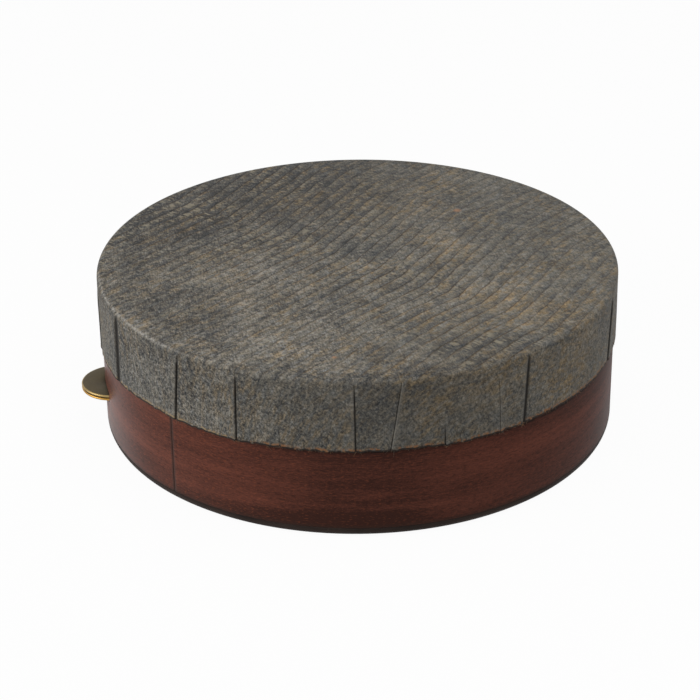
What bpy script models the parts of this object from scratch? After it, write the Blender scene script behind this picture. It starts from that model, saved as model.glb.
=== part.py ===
"""Kanjira: a small frame drum with a skin glued over one end and a pair of jingles in a slot.

Metres, +Z up. The origin is on the drum's axis, in the plane of the lower rim. The jingle slot
faces the diagonal between -X and -Y.
"""

import math

import bmesh
import bpy

# Whole drum
DRUM_DEPTH = 0.0565
HEAD_RADIUS = 0.0885
SEAT_GAP = 0.0003
TURNED_STEPS = 96
ARC_STEPS = 4

# Skin, folded over the bearing edge and cut off half way down the shell
SKIN_THICKNESS = 0.0003
SKIN_EDGE_ROUND = 0.0024
HEM_HEIGHT = 0.0316
HEM_WANDER = 0.0004
HEM_TILT = 0.0005
HEM_HIGH_AZIMUTH = 37.5
PLEAT_HEAD_HEIGHT = 0.0515
PLEAT_LIP = 0.0007
PLEAT_REACH = 5.0
CREASE_HALF_WIDTH = 0.45
SKIN_STEPS = 72

# Pleats: azimuth at the hem and lean towards the playing edge, both in degrees, and the share of the
# full lip that each one stands proud
PLEATS = (
    (-131.5, -0.5, 0.9), (-115.5, 0.5, 1.0), (-93.6, 1.2, 1.0), (-78.2, 0.2, 1.0), (-68.8, 0.0, 0.2),
    (-53.2, -0.2, 0.8), (-46.1, 2.2, 0.8), (-34.8, -0.3, 0.5), (-22.3, -0.7, 0.3), (-16.4, 1.0, 1.0),
    (9.0, 0.0, 0.7), (17.3, 2.4, 1.0), (37.0, -0.8, 0.6), (51.0, 0.6, 1.0), (73.0, 0.0, 0.9),
    (81.0, 0.8, 0.5), (102.0, 0.0, 1.0), (121.0, -0.6, 0.8), (136.0, 0.0, 1.0), (150.0, 0.5, 0.4),
    (166.0, 0.0, 1.0), (183.0, 1.0, 0.7), (207.0, 0.0, 1.0),
)

# Shell: a dark core with an outer veneer laid in a shallow rabbet
WALL = 0.0063
VENEER_THICKNESS = 0.0005
VENEER_FOOT = 0.0034
VENEER_TOP = 0.0520
FOOT_ROUND = 0.0030
INNER_ROUND = 0.0012
SEAM_AZIMUTH = -95.7
SEAM_WIDTH = 0.0003

# Jingles on an upright pin across a slot in the wall
SLOT_AZIMUTH = -135.0
SLOT_WIDTH = 0.0242
SLOT_FLOOR = 0.0138
SLOT_CEILING = 0.0180
SLOT_CORNER_ROUND = 0.0010
SLOT_CORNER_STEPS = 3
JINGLE_RADIUS = 0.0113
JINGLE_THICKNESS = 0.00085
JINGLE_HOLE_RADIUS = 0.0019
JINGLE_STEPS = 48
PIN_RADIUS = 0.0012
PIN_BOTTOM = 0.0016
PIN_TOP = 0.0302
PIN_CHAMFER = 0.0003
PIN_STEPS = 20

# Worked out from the sizes above
VENEER_RADIUS = HEAD_RADIUS - SKIN_THICKNESS - SEAT_GAP
RABBET_RADIUS = VENEER_RADIUS - VENEER_THICKNESS - SEAT_GAP
BORE_RADIUS = VENEER_RADIUS - WALL
CORE_TOP = DRUM_DEPTH - SKIN_THICKNESS - SEAT_GAP
BEARING_ROUND = SKIN_EDGE_ROUND - SKIN_THICKNESS - SEAT_GAP
PIN_DISTANCE = (VENEER_RADIUS + BORE_RADIUS) / 2


def clear_scene():
    for item in list(bpy.data.objects):
        bpy.data.objects.remove(item, do_unlink=True)


def new_collection(name):
    collection = bpy.data.collections.new(name)
    bpy.context.scene.collection.children.link(collection)
    return collection


def new_material(name, colour, roughness, metallic):
    material = bpy.data.materials.new(name)
    material.use_nodes = True
    shader = material.node_tree.nodes["Principled BSDF"]
    shader.inputs["Base Color"].default_value = (*colour, 1.0)
    shader.inputs["Roughness"].default_value = roughness
    shader.inputs["Metallic"].default_value = metallic
    material.diffuse_color = (*colour, 1.0)
    return material


def new_object(name, bm, collection, material=None):
    """Turn a bmesh into a named object and free the bmesh."""
    mesh = bpy.data.meshes.new(name)
    bm.to_mesh(mesh)
    bm.free()
    item = bpy.data.objects.new(name, mesh)
    collection.objects.link(item)
    if material:
        mesh.materials.append(material)
    return item


def arc(radius, height, bend, start, end):
    """Points of a quarter round in a profile, about a centre at this radius and height."""
    angles = [math.radians(start + (end - start) * i / ARC_STEPS) for i in range(ARC_STEPS + 1)]
    return [(radius + bend * math.cos(a), height + bend * math.sin(a)) for a in angles]


def turned(name, profile, collection, material, steps, closed=True):
    """A piece turned about its own Z axis, from a profile that runs down its outer side."""
    bm = bmesh.new()
    points = [bm.verts.new((radius, 0.0, height)) for radius, height in profile]
    for first, second in zip(points, points[1:]):
        bm.edges.new((first, second))
    if closed:
        bm.edges.new((points[-1], points[0]))
    item = new_object(name, bm, collection, material)
    screw = item.modifiers.new("Turn", "SCREW")
    screw.steps = screw.render_steps = steps
    screw.use_merge_vertices = True
    screw.merge_threshold = 0.00001
    screw.use_smooth_shade = True
    return item


def cut(item, cutter):
    boolean = item.modifiers.new(cutter.name, "BOOLEAN")
    boolean.operation = "DIFFERENCE"
    boolean.object = cutter


def as_cutter(item):
    item.hide_render = True
    item.display_type = "WIRE"
    return item


def slot_cutter(collection):
    """A flat bar with rounded corners that points outward through the wall."""
    height = SLOT_CEILING - SLOT_FLOOR
    bm = bmesh.new()
    bmesh.ops.create_cube(bm, size=1.0)
    bmesh.ops.scale(bm, vec=(4 * WALL, SLOT_WIDTH, height), verts=bm.verts)
    corners = [e for e in bm.edges if abs(e.verts[0].co.x - e.verts[1].co.x) > WALL]
    bmesh.ops.bevel(
        bm, geom=corners, offset=SLOT_CORNER_ROUND, segments=SLOT_CORNER_STEPS, profile=0.5, affect="EDGES"
    )
    item = as_cutter(new_object("slot_cutter", bm, collection))
    turn = math.radians(SLOT_AZIMUTH)
    middle = (SLOT_FLOOR + SLOT_CEILING) / 2
    item.location = (PIN_DISTANCE * math.cos(turn), PIN_DISTANCE * math.sin(turn), middle)
    item.rotation_euler.z = turn
    return item


def seam_cutter(collection):
    """A thin upright blade that parts the veneer where its two ends meet."""
    bm = bmesh.new()
    bmesh.ops.create_cube(bm, size=1.0)
    bmesh.ops.scale(bm, vec=(WALL, SEAM_WIDTH, 2 * DRUM_DEPTH), verts=bm.verts)
    item = as_cutter(new_object("seam_cutter", bm, collection))
    turn = math.radians(SEAM_AZIMUTH)
    item.location = (VENEER_RADIUS * math.cos(turn), VENEER_RADIUS * math.sin(turn), DRUM_DEPTH / 2)
    item.rotation_euler.z = turn
    return item


def pin_drill(collection, axis_empty):
    """The blind hole that the pin is driven into, up through the lower rim."""
    hole_radius = PIN_RADIUS + SEAT_GAP
    depth = PIN_TOP + SEAT_GAP + FOOT_ROUND
    bm = bmesh.new()
    bmesh.ops.create_cone(
        bm, cap_ends=True, segments=PIN_STEPS, radius1=hole_radius, radius2=hole_radius, depth=depth
    )
    item = as_cutter(new_object("pin_drill", bm, collection))
    item.parent = axis_empty
    item.location.z = PIN_TOP + SEAT_GAP - depth / 2
    return item


def shell_core(collection, material):
    """The load-bearing hoop: bearing edge above, rounded foot below, veneer rabbet between."""
    inner = BORE_RADIUS + INNER_ROUND
    profile = arc(inner, CORE_TOP - INNER_ROUND, INNER_ROUND, 180, 90)
    profile += arc(VENEER_RADIUS - BEARING_ROUND, CORE_TOP - BEARING_ROUND, BEARING_ROUND, 90, 0)
    profile += [
        (VENEER_RADIUS, VENEER_TOP + SEAT_GAP),
        (RABBET_RADIUS, VENEER_TOP + SEAT_GAP),
        (RABBET_RADIUS, VENEER_FOOT - SEAT_GAP),
        (VENEER_RADIUS, VENEER_FOOT - SEAT_GAP),
    ]
    profile += arc(VENEER_RADIUS - FOOT_ROUND, FOOT_ROUND, FOOT_ROUND, 0, -90)
    profile += arc(inner, INNER_ROUND, INNER_ROUND, -90, -180)
    return turned("shell_core", profile, collection, material, TURNED_STEPS)


def shell_veneer(collection, material):
    """The figured outer layer, a strip bent round the core and butted at one seam."""
    inside = VENEER_RADIUS - VENEER_THICKNESS
    profile = [
        (inside, VENEER_TOP),
        (VENEER_RADIUS, VENEER_TOP),
        (VENEER_RADIUS, VENEER_FOOT),
        (inside, VENEER_FOOT),
    ]
    return turned("shell_veneer", profile, collection, material, TURNED_STEPS)


def turn_between(first, second):
    """Degrees from one azimuth to another, between -180 and 180."""
    return (second - first + 180.0) % 360.0 - 180.0


def skin_azimuths():
    """Even steps round the drum, with three columns at each pleat: lip, crease and lip."""
    folds = [pleat[0] + side * CREASE_HALF_WIDTH for pleat in PLEATS for side in (-1, 0, 1)]
    even = [360.0 * i / SKIN_STEPS for i in range(SKIN_STEPS)]
    clear = [a for a in even if all(abs(turn_between(a, f)) > 1.0 for f in folds)]
    return sorted(a % 360.0 for a in clear + folds)


def pleat_swell(azimuth):
    """How far the skirt stands out here: it swells to each pair of lips and drops in the crease."""
    swell = 0.0
    for centre, _, share in PLEATS:
        away = abs(turn_between(centre, azimuth))
        if away < CREASE_HALF_WIDTH / 2:
            return 0.0
        if away < PLEAT_REACH:
            rise = 1.0 - max(0.0, away - CREASE_HALF_WIDTH) / PLEAT_REACH
            swell = max(swell, share * PLEAT_LIP * rise * rise)
    return swell


def pleat_lean(azimuth):
    """How far a column here is drawn sideways at the playing edge, in degrees."""
    lean = 0.0
    for centre, reach, _ in PLEATS:
        lean += reach * max(0.0, 1.0 - abs(turn_between(centre, azimuth)) / PLEAT_REACH)
    return lean


def hem_height(azimuth):
    """The cut edge tilts and wanders a little, as a line cut by hand does."""
    turn = math.radians(azimuth)
    tilt = math.cos(turn - math.radians(HEM_HIGH_AZIMUTH))
    wander = math.sin(3 * turn + 0.6) + 0.6 * math.sin(7 * turn + 2.1) + 0.4 * math.sin(13 * turn)
    return HEM_HEIGHT + HEM_TILT * tilt + HEM_WANDER * wander / 2


def drumhead(collection, material):
    """One skin: a flat playing face, extruded ring by ring over the edge and down the skirt."""
    azimuths = skin_azimuths()
    flat_radius = HEAD_RADIUS - SKIN_EDGE_ROUND
    edge_height = DRUM_DEPTH - SKIN_EDGE_ROUND
    rings = [(r, z, 0.0) for r, z in arc(flat_radius, edge_height, SKIN_EDGE_ROUND, 90, 0)]
    rings += [(HEAD_RADIUS, PLEAT_HEAD_HEIGHT, 0.15), (HEAD_RADIUS, None, 1.0)]
    bm = bmesh.new()
    centre = bmesh.ops.create_circle(bm, cap_ends=True, cap_tris=True, segments=len(azimuths), radius=1.0)
    rim = [v for v in centre["verts"] if v.co.length > 0.5]
    rim.sort(key=lambda v: math.atan2(v.co.y, v.co.x) % (2 * math.pi))
    for v in centre["verts"]:
        v.co.z = DRUM_DEPTH
    for number, (radius, height, share) in enumerate(rings):
        if number:
            edges = [e for e in bm.edges if e.is_boundary]
            grown = bmesh.ops.extrude_edge_only(bm, edges=edges)["geom"]
            fresh = {v for v in grown if isinstance(v, bmesh.types.BMVert)}
            rim = [next(e.other_vert(v) for e in v.link_edges if e.other_vert(v) in fresh) for v in rim]
        for v, azimuth in zip(rim, azimuths):
            out = radius + share * pleat_swell(azimuth)
            at_hem = height is None
            turn = math.radians(azimuth if at_hem else azimuth + pleat_lean(azimuth))
            z = hem_height(azimuth) if at_hem else height
            v.co = (out * math.cos(turn), out * math.sin(turn), z)
    bmesh.ops.recalc_face_normals(bm, faces=bm.faces)
    item = new_object("drumhead", bm, collection, material)
    wall = item.modifiers.new("Thickness", "SOLIDIFY")
    wall.thickness = SKIN_THICKNESS
    wall.offset = -1.0
    item.data.shade_smooth()
    item.data.set_sharp_from_angle(angle=math.radians(30))
    return item


def jingle(name, height, collection, material, axis_empty):
    """A coin-like brass disc with a rounded rim, loose on the pin."""
    half = JINGLE_THICKNESS / 2
    profile = [(JINGLE_HOLE_RADIUS, half)]
    profile += arc(JINGLE_RADIUS - half, 0.0, half, 90, -90)
    profile += [(JINGLE_HOLE_RADIUS, -half)]
    item = turned(name, profile, collection, material, JINGLE_STEPS)
    item.parent = axis_empty
    item.location.z = height + half
    return item


def jingle_pin(collection, material, axis_empty):
    """A plain steel pin, pressed up through the rim and across the slot."""
    shoulder = PIN_RADIUS - PIN_CHAMFER
    profile = [
        (0.0, PIN_TOP),
        (shoulder, PIN_TOP),
        (PIN_RADIUS, PIN_TOP - PIN_CHAMFER),
        (PIN_RADIUS, PIN_BOTTOM + PIN_CHAMFER),
        (shoulder, PIN_BOTTOM),
        (0.0, PIN_BOTTOM),
    ]
    item = turned("jingle_pin", profile, collection, material, PIN_STEPS, closed=False)
    item.parent = axis_empty
    return item


def build():
    clear_scene()
    parts = new_collection("kanjira")
    cutters = new_collection("cutters")

    dark_fibre = new_material("dark_fibre", (0.035, 0.022, 0.018), 0.55, 0.0)
    mahogany = new_material("mahogany", (0.105, 0.030, 0.020), 0.32, 0.0)
    grey_skin = new_material("grey_skin", (0.125, 0.113, 0.095), 0.70, 0.0)
    brass = new_material("brass", (0.42, 0.31, 0.12), 0.28, 1.0)
    steel = new_material("steel", (0.56, 0.57, 0.58), 0.30, 1.0)

    turn = math.radians(SLOT_AZIMUTH)
    axis_empty = bpy.data.objects.new("jingle_axis", None)
    axis_empty.location = (PIN_DISTANCE * math.cos(turn), PIN_DISTANCE * math.sin(turn), 0.0)
    parts.objects.link(axis_empty)

    core = shell_core(parts, dark_fibre)
    veneer = shell_veneer(parts, mahogany)
    drumhead(parts, grey_skin)

    slot = slot_cutter(cutters)
    cut(core, slot)
    cut(core, pin_drill(cutters, axis_empty))
    cut(veneer, slot)
    cut(veneer, seam_cutter(cutters))

    lower = SLOT_FLOOR + SEAT_GAP
    upper = lower + JINGLE_THICKNESS + SEAT_GAP
    jingle("jingle_lower", lower, parts, brass, axis_empty)
    jingle("jingle_upper", upper, parts, brass, axis_empty)
    jingle_pin(parts, steel, axis_empty)


build()
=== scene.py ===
# %% [markdown]
# # A kanjira, dressed over its solids
# The kanjira is a small South Indian frame drum. A dark hoop carries a figured veneer, a grey-brown skin
# is glued over the upper rim and pleated down the side, and two brass discs rattle on a pin in the wall.
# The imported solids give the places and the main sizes, so we load them first and measure them.

# %% Load the solids and measure them
import math
import random

import bmesh
import bpy
import numpy as np
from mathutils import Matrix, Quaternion, Vector


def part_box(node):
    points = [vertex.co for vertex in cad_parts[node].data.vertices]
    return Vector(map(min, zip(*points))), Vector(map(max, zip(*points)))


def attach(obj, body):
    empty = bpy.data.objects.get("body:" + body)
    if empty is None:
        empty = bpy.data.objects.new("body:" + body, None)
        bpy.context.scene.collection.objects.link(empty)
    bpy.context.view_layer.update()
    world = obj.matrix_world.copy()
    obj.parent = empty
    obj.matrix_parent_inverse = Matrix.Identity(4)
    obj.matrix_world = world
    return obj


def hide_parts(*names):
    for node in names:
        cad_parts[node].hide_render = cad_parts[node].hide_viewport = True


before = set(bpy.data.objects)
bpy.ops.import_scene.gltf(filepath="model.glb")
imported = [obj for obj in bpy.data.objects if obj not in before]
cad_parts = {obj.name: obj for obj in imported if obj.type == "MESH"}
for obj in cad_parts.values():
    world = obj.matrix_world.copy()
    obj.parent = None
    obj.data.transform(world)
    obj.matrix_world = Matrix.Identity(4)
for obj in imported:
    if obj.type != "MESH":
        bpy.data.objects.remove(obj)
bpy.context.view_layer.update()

MM = 0.001
_, skin_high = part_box("drumhead")
veneer_low, veneer_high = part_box("shell_veneer")
_, core_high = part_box("shell_core")
pin_low, pin_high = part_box("jingle_pin")

HEAD_TOP = skin_high.z
SHELL_RADIUS = veneer_high.x
GAP = 0.3 * MM
print("head at", round(HEAD_TOP / MM, 2), "mm, shell radius", round(SHELL_RADIUS / MM, 2), "mm")

# %% [markdown]
# ## The camera
# The photograph was taken from a little above, with a long lens, so the round head shows as a flat ellipse.
# We stand the camera on a circle round the drum and turn it with `to_track_quat`, which points its -Z axis
# along a direction. A small roll levels it as the photograph is levelled, and a small shift slides the
# picture without turning the view.

# %% Set up the camera
VIEW_TURN = math.radians(37.5)
VIEW_LIFT = math.radians(27.05)
VIEW_DISTANCE = 760.5 * MM
VIEW_ROLL = math.radians(-0.53)
LENS = 112.85
PHOTO_SIDE = 700
SHIFT_RIGHT = 8.0 / PHOTO_SIDE
SHIFT_UP = 18.7 / PHOTO_SIDE
LOOK_HEIGHT = 28.5 * MM
DRUM_MIDDLE = Vector((0, 0, LOOK_HEIGHT))


def direction(turn, lift):
    """From the drum to a place round it: turned right from the photograph's view, and lifted."""
    around = VIEW_TURN + turn
    flat = math.cos(lift)
    return Vector((math.sin(around) * flat, -math.cos(around) * flat, math.sin(lift)))


def aim(item, turn, lift, distance, roll=0.0):
    """Stand a camera or a lamp at a distance from the drum, pointing at its middle."""
    back = direction(turn, lift)
    item.location = DRUM_MIDDLE + back * distance
    item.rotation_mode = "QUATERNION"
    item.rotation_quaternion = (-back).to_track_quat("-Z", "Y")
    item.rotation_quaternion.rotate(Quaternion(back, roll))
    bpy.context.scene.collection.objects.link(item)


camera = bpy.data.objects.new("camera", bpy.data.cameras.new("camera"))
camera.data.lens = LENS
camera.data.shift_x = -SHIFT_RIGHT
camera.data.shift_y = -SHIFT_UP
aim(camera, 0.0, VIEW_LIFT, VIEW_DISTANCE, VIEW_ROLL)
bpy.context.scene.camera = camera
bpy.context.scene.view_settings.view_transform = "Standard"
print("camera", round(VIEW_DISTANCE / MM), "mm from the middle of the drum")

# %% [markdown]
# ## Wires: shader maths as plain sums
# Every finish below is a small net of shader nodes. Linking them one by one hides the idea, so a `Wire`
# wraps one socket and lets us write `1 - mask * 0.5`; each sign adds a Math node. Any other node comes from
# the `node` method: its type, its settings, then what goes into its sockets.

# %% A class for shader maths
class Wire:
    """One socket of a node tree, which can be used in sums."""

    def __init__(self, tree, socket=None):
        self.tree = tree
        self.socket = socket

    def node(self, kind, settings=None, sockets=None, out=0):
        """Add a node, set it up, feed its sockets and return a wire from one of its outputs."""
        made = self.tree.nodes.new("ShaderNode" + kind)
        for name, value in (settings or {}).items():
            if name == "stops":
                ramp = made.color_ramp.elements
                while len(ramp) < len(value):
                    ramp.new(1.0)
                for stop, (place, colour) in zip(ramp, value):
                    stop.position = place
                    stop.color = (*colour, 1.0)
            else:
                setattr(made, name, value)
        for name, value in (sockets or {}).items():
            if isinstance(value, Wire):
                self.tree.links.new(value.socket, made.inputs[name])
            else:
                made.inputs[name].default_value = value
        return Wire(self.tree, made.outputs[out])

    def maths(self, operation, *terms):
        return self.node("Math", {"operation": operation}, dict(enumerate(terms)))

    def __add__(self, other):
        return self.maths("ADD", self, other)

    __radd__ = __add__

    def __sub__(self, other):
        return self.maths("SUBTRACT", self, other)

    def __rsub__(self, other):
        return self.maths("SUBTRACT", other, self)

    def __mul__(self, other):
        return self.maths("MULTIPLY", self, other)

    __rmul__ = __mul__

    def __truediv__(self, other):
        return self.maths("DIVIDE", self, other)

    def here(self):
        """The place on the piece, in metres."""
        return self.node("TexCoord", None, None, "Object")

    def axes(self, names="XYZ"):
        """The parts of a place along its axes, one wire each."""
        return [self.node("SeparateXYZ", None, {0: self}, name) for name in names]

    def size(self):
        """The length of a vector."""
        return self.node("VectorMath", {"operation": "LENGTH"}, {0: self}, "Value")

    def step(self, low, high, to_low=0.0, to_high=1.0):
        """A smooth change from one value to another while this wire goes from low to high."""
        sockets = {"Value": self, "From Min": low, "From Max": high, "To Min": to_low, "To Max": to_high}
        return self.node("MapRange", {"interpolation_type": "SMOOTHSTEP"}, sockets)

    def between(self, starts, full, fades, ends):
        """1 from full to fades, falling smoothly to 0 at starts and at ends."""
        return self.step(starts, full) * self.step(ends, fades)

    def noise(self, scale, detail=2.0, roughness=0.5, distortion=0.0):
        """Cloudy noise between 0 and 1, read at this wire's place."""
        sockets = {
            "Vector": self, "Scale": scale, "Detail": detail,
            "Roughness": roughness, "Distortion": distortion,
        }
        return self.node("TexNoise", None, sockets, "Fac")

    def blend(self, base, top, how="MIX"):
        """Two colours mixed, with this wire as the share of the second."""
        sockets = {0: self, 6: base, 7: top}
        return self.node("Mix", {"data_type": "RGBA", "blend_type": how}, sockets, 2)


def rgb(red, green, blue):
    return (red, green, blue, 1.0)


def new_finish(name, constants):
    """A material with the values that are the same all over, its shader, and a wire to start from."""
    material = bpy.data.materials.new(name)
    material.use_nodes = True
    shader = material.node_tree.nodes["Principled BSDF"]
    for socket, value in constants.items():
        shader.inputs[socket].default_value = value
    return material, shader, Wire(material.node_tree)


def feed(shader, **wires):
    """Link wires to a shader's sockets, by name with _ for a space."""
    for name, wire in wires.items():
        wire.tree.links.new(wire.socket, shader.inputs[name.replace("_", " ")])


print("shader maths ready")

# %% [markdown]
# ## The studio
# The drum stands on white paper between a big soft lamp on the left and a soft one above its right side,
# which opens the shadows there. White that the camera sees should not pour more light on the drum, so the
# world and the floor read the Light Path node: camera, mirror and glass rays see white, and the light that
# falls on the drum stays plain. Under the drum the paper is left unlit, so that the jingle slot looks into
# the dark.

# %% World, floor and lamps
FLOOR_SIZE = 8.0
FLOOR_DROP = 0.1 * MM
FLOOR_COLOUR = rgb(0.72, 0.72, 0.71)
FLOOR_WHITENESS = 0.96
SKY_LIGHT = 0.27
UNLIT_RADIUS = 0.85 * SHELL_RADIUS
LIT_RADIUS = 0.95 * SHELL_RADIUS


def seen_directly(start):
    """1 for rays from the camera, from mirrors and through glass, and 0 for light that is cast."""
    rays = [start.node("LightPath", None, None, name) for name in (
        "Is Camera Ray", "Is Glossy Ray", "Is Transmission Ray",
    )]
    return rays[0].maths("MAXIMUM", rays[0].maths("MAXIMUM", rays[0], rays[1]), rays[2])


world = bpy.data.worlds.new("studio")
world.use_nodes = True
bpy.context.scene.world = world
sky = world.node_tree.nodes["Background"]
sky.inputs["Color"].default_value = rgb(1.0, 1.0, 1.0)
feed(sky, Strength=seen_directly(Wire(world.node_tree)).step(0.0, 1.0, SKY_LIGHT, 1.0))

bpy.ops.object.select_all(action="DESELECT")
bpy.ops.mesh.primitive_plane_add(size=FLOOR_SIZE, location=(0, 0, -FLOOR_DROP))
floor = bpy.context.object
floor.name = "floor"
paper = bpy.data.materials.new("white_paper")
paper.use_nodes = True
paper.node_tree.nodes.remove(paper.node_tree.nodes["Principled BSDF"])
start = Wire(paper.node_tree)
in_the_open = start.here().size().step(UNLIT_RADIUS, LIT_RADIUS)
share = seen_directly(start) * in_the_open * FLOOR_WHITENESS
plain = start.node("BsdfDiffuse", None, {"Color": FLOOR_COLOUR})
white = start.node("Emission", None, {"Color": rgb(1.0, 1.0, 1.0), "Strength": 1.0})
lit = start.node("MixShader", None, {0: share, 1: plain, 2: white})
feed(paper.node_tree.nodes["Material Output"], Surface=lit)
floor.data.materials.append(paper)

# Each lamp: its name, turn and lift in degrees, distance and size in metres, and power in watts.
LAMPS = (
    ("key_lamp", -72.0, 22.0, 1.3, 0.9, 9.0),
    ("top_lamp", 40.0, 72.0, 1.0, 0.8, 5.6),
)
for name, turn, lift, distance, size, power in LAMPS:
    lamp = bpy.data.objects.new(name, bpy.data.lights.new(name, "AREA"))
    lamp.data.shape = "DISK"
    lamp.data.size = size
    lamp.data.energy = power
    lamp.visible_camera = False
    aim(lamp, math.radians(turn), math.radians(lift), distance)
print("studio with", len(LAMPS), "lamps")

# %% [markdown]
# ## Working by hand, in code
# Modelling with operators means: add a primitive, go into edit mode, select something, act on it. The
# helpers below do the parts that come back each time. `pick` selects faces or edges by a test on where they
# are, which is what a modeller does with the mouse.

# %% Helpers for modelling
def clear_selection():
    if bpy.context.object and bpy.context.object.mode != "OBJECT":
        bpy.ops.object.mode_set(mode="OBJECT")
    bpy.ops.object.select_all(action="DESELECT")


def begin(name):
    """Take the primitive that was just added: name it, move its place into its mesh, and edit it."""
    piece = bpy.context.object
    piece.name = name
    piece.data.name = name
    bpy.ops.object.transform_apply(location=True, rotation=True, scale=True)
    bpy.ops.object.mode_set(mode="EDIT")
    return piece


def pick(piece, kind, test):
    """Select only the faces or edges that pass a test, and return how many there are."""
    bpy.ops.mesh.select_mode(type=kind)
    bpy.ops.mesh.select_all(action="DESELECT")
    shape = bmesh.from_edit_mesh(piece.data)
    parts = [part for part in (shape.faces if kind == "FACE" else shape.edges) if test(part)]
    for part in parts:
        part.select_set(True)
    bmesh.update_edit_mesh(piece.data)
    return len(parts)


def radius_of(point):
    return math.hypot(point.x, point.y)


def near(value, wanted, slack=0.02 * MM):
    return abs(value - wanted) < slack


def ring_edge(radius, height):
    """A test for the edges of one ring round the drum's axis."""
    def on_ring(edge):
        ends = [vert.co for vert in edge.verts]
        return all(near(radius_of(end), radius, 0.05 * MM) and near(end.z, height) for end in ends)
    return on_ring


def is_end(face):
    return abs(face.normal.z) > 0.9


def apply_modifier(piece, kind, **settings):
    """Add a modifier, set it and apply it at once."""
    modifier = piece.modifiers.new(kind.lower(), kind)
    for name, value in settings.items():
        setattr(modifier, name, value)
    bpy.context.view_layer.objects.active = piece
    bpy.ops.object.modifier_apply(modifier=modifier.name)


def cut_with(piece, cutter):
    apply_modifier(piece, "BOOLEAN", object=cutter, operation="DIFFERENCE", solver="EXACT")


def close_up():
    """Turn every face outwards and leave edit mode."""
    bpy.ops.mesh.select_all(action="SELECT")
    bpy.ops.mesh.normals_make_consistent(inside=False)
    bpy.ops.object.mode_set(mode="OBJECT")


def discard(item):
    bpy.data.objects.remove(item, do_unlink=True)


def shade(piece, degrees=35.0):
    """Smooth shading that keeps the edges sharper than an angle."""
    clear_selection()
    piece.select_set(True)
    bpy.context.view_layer.objects.active = piece
    bpy.ops.object.shade_smooth_by_angle(angle=math.radians(degrees))


def report(piece):
    piece.data.calc_loop_triangles()
    print(piece.name, "has", len(piece.data.loop_triangles), "triangles")


print("helpers ready")

# %% [markdown]
# ## Cutters for the jingle slot
# One slot goes through the wall, veneer and all, and the jingle pin is driven up across it from below. We
# make a flat bar with rounded corners and a drill once, and cut both layers with the same bar, so that the
# openings line up as they do when one tool goes through both.

# %% Make the slot bar and the pin drill
SLOT_WIDTH = 24.2 * MM
SLOT_FLOOR = 13.8 * MM
SLOT_CEILING = 18.0 * MM
SLOT_REACH = 26.0 * MM
SLOT_CORNER = 1.0 * MM
PIN_STEPS = 40
PIN_AXIS = (pin_low + pin_high) / 2
PIN_RADIUS = (pin_high.x - pin_low.x) / 2
SLOT_TURN = math.atan2(PIN_AXIS.y, PIN_AXIS.x)

clear_selection()
slot_height = SLOT_CEILING - SLOT_FLOOR
bpy.ops.mesh.primitive_cube_add(size=1.0, scale=(SLOT_REACH, SLOT_WIDTH, slot_height))
slot_bar = begin("slot_bar")
pick(slot_bar, "EDGE", lambda edge: abs(edge.verts[0].co.x - edge.verts[1].co.x) > SLOT_REACH / 2)
bpy.ops.mesh.bevel(offset=SLOT_CORNER, segments=6, affect="EDGES")
bpy.ops.object.mode_set(mode="OBJECT")
slot_bar.location = (PIN_AXIS.x, PIN_AXIS.y, (SLOT_FLOOR + SLOT_CEILING) / 2)
slot_bar.rotation_euler.z = SLOT_TURN

DRILL_DEPTH = pin_high.z + GAP
bpy.ops.mesh.primitive_cylinder_add(
    vertices=PIN_STEPS,
    radius=PIN_RADIUS + GAP,
    depth=2 * DRILL_DEPTH,
    location=(PIN_AXIS.x, PIN_AXIS.y, 0.0),
)
pin_drill = bpy.context.object
pin_drill.name = "pin_drill"
print("slot", round(SLOT_WIDTH / MM, 1), "by", round(slot_height / MM, 1), "mm")

# %% [markdown]
# ## The core
# The core is the hoop that carries everything: rounded where the skin bends over it, rounded at the foot,
# and cut back between them so that the veneer lies flush. It could be a turned profile, but a cylinder
# whose ends are inset and bridged makes the tube in two moves, and each rounded corner is then one bevel.

# %% Model the core
ROUND_STEPS = 240
WALL = 6.3 * MM
BORE_RADIUS = SHELL_RADIUS - WALL
CORE_TOP = core_high.z
BEARING_ROUND = 1.8 * MM
FOOT_ROUND = 3.0 * MM
INNER_ROUND = 1.2 * MM
VENEER_FOOT = veneer_low.z
VENEER_TOP = veneer_high.z
VENEER_THICKNESS = 0.5 * MM
RABBET_DEPTH = VENEER_THICKNESS + GAP
SNUG = 0.05 * MM

clear_selection()
bpy.ops.mesh.primitive_cylinder_add(
    vertices=ROUND_STEPS, radius=SHELL_RADIUS, depth=CORE_TOP, location=(0, 0, CORE_TOP / 2)
)
core = begin("core")
pick(core, "FACE", is_end)
bpy.ops.mesh.inset(thickness=WALL)
bpy.ops.mesh.bridge_edge_loops()
for radius, height, rounding, steps in (
    (SHELL_RADIUS, CORE_TOP, BEARING_ROUND, 8),
    (SHELL_RADIUS, 0.0, FOOT_ROUND, 8),
    (BORE_RADIUS, CORE_TOP, INNER_ROUND, 4),
    (BORE_RADIUS, 0.0, INNER_ROUND, 4),
):
    count = pick(core, "EDGE", ring_edge(radius, height))
    print("rounding", count, "edges by", round(rounding / MM, 1), "mm")
    bpy.ops.mesh.bevel(offset=rounding, segments=steps, affect="EDGES")
for height in (VENEER_FOOT - SNUG, VENEER_TOP + GAP):
    bpy.ops.mesh.select_all(action="SELECT")
    bpy.ops.mesh.bisect(plane_co=(0, 0, height), plane_no=(0, 0, 1))


def in_rabbet(face):
    """The outer wall between the two heights that the veneer lies between."""
    middle = face.calc_center_median()
    outside = abs(face.normal.z) < 0.1 and radius_of(middle) > SHELL_RADIUS - WALL / 2
    return outside and VENEER_FOOT < middle.z < VENEER_TOP


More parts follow.
